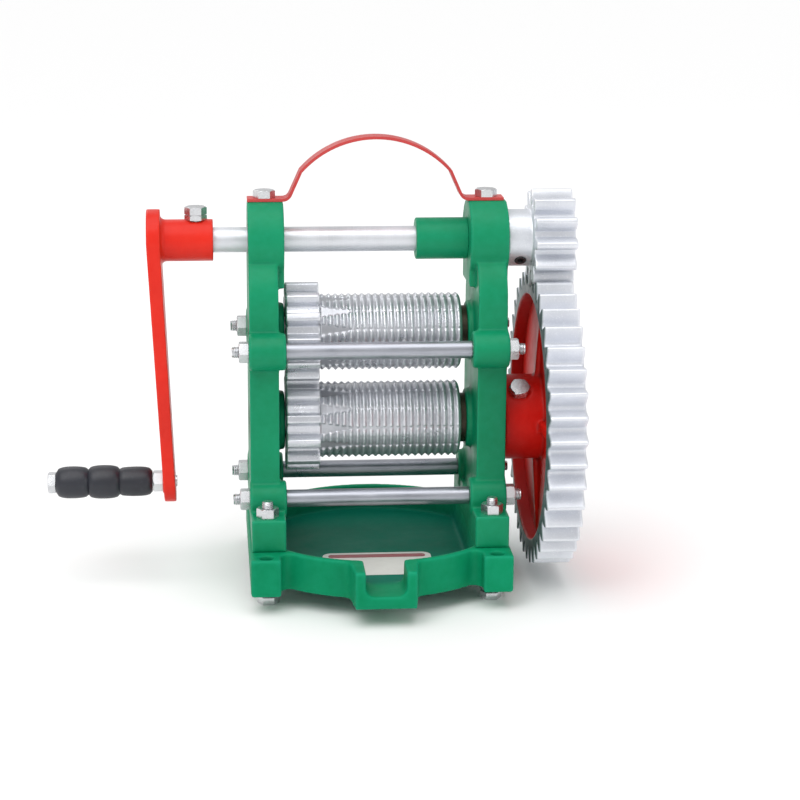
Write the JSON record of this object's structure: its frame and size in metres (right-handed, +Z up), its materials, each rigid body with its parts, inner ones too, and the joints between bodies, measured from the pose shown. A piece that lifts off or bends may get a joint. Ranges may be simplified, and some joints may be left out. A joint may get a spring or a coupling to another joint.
{
  "type": "hand-cranked sugarcane mill",
  "caption": "Bench-top cane crusher: two grooved rollers geared together between side frames over a juice tray with a spout, driven by a crank through a pinion and a large gear.",
  "frame": {"origin": "centre of the four bench mounting holes, on the underside of the base tray", "axes": "+X along the shafts towards the gears, -Y the front with the pouring spout, +Z up"},
  "size_m": [0.5487, 0.3282, 0.4716],
  "materials": {
    "green_enamel": "glossy green enamel over sand casting",
    "red_enamel": "semi-gloss red enamel",
    "cast_silver": "silver-painted casting, satin",
    "steel": "turned steel",
    "zinc": "bright zinc plating",
    "bronze": "bearing bronze",
    "grip_plastic": "black satin plastic",
    "label": "blank pale label"
  },
  "bodies": {
    "frame": {"base_tray": "green_enamel", "label_plate": "label", "left_frame": "green_enamel", "right_frame": "green_enamel", "pinion_shaft_sleeve": "green_enamel", "pinion_shaft_bush": "bronze", "left_roller_bushes": "bronze", "right_roller_bushes": "bronze", "upper_tie_rods": "zinc", "lower_tie_rods": "zinc", "upper_spacer_tubes": "zinc", "lower_spacer_tubes": "zinc", "left_tie_rod_nuts": "zinc", "right_tie_rod_nuts": "zinc", "foot_bolts": "zinc", "foot_nuts": "zinc", "foot_lock_nuts": "zinc", "carry_strap": "red_enamel", "strap_bolts": "zinc"},
    "lower_roller_set": {"lower_roller": "cast_silver", "lower_roller_shaft": "steel", "lower_roller_key": "steel", "drive_gear_rim": "cast_silver", "drive_gear_web": "red_enamel", "drive_gear_key": "steel", "drive_gear_set_bolt": "zinc"},
    "upper_roller_set": {"upper_roller": "cast_silver", "upper_roller_shaft": "steel", "upper_roller_key": "steel"},
    "crank": {"pinion_shaft": "steel", "pinion": "cast_silver", "pinion_key": "steel", "pinion_set_screw": "steel", "crank_arm": "red_enamel", "crank_set_bolt": "zinc", "crank_lock_nut": "zinc", "grip_bolt": "zinc", "grip_nut": "zinc"},
    "grip": {"hand_grip": "grip_plastic"}
  },
  "joints": [
    {"name": "lower_roller_spin", "type": "hinge", "parent": "frame", "child": "lower_roller_set", "pos_m": [0, 0, 0.152], "axis": [1, 0, 0], "continuous": true},
    {"name": "upper_roller_spin", "type": "hinge", "parent": "frame", "child": "upper_roller_set", "pos_m": [0, 0, 0.2465], "axis": [1, 0, 0], "continuous": true},
    {"name": "crank_spin", "type": "hinge", "parent": "frame", "child": "crank", "pos_m": [0, 0, 0.3444], "axis": [1, 0, 0], "continuous": true},
    {"name": "grip_spin", "type": "hinge", "parent": "crank", "child": "grip", "pos_m": [-0.28, 0, 0.0874], "axis": [1, 0, 0], "continuous": true}
  ],
  "couplings": [
    {"joint": "upper_roller_spin", "follows": "lower_roller_spin", "ratio": -1},
    {"joint": "crank_spin", "follows": "lower_roller_spin", "ratio": -3.3333}
  ]
}
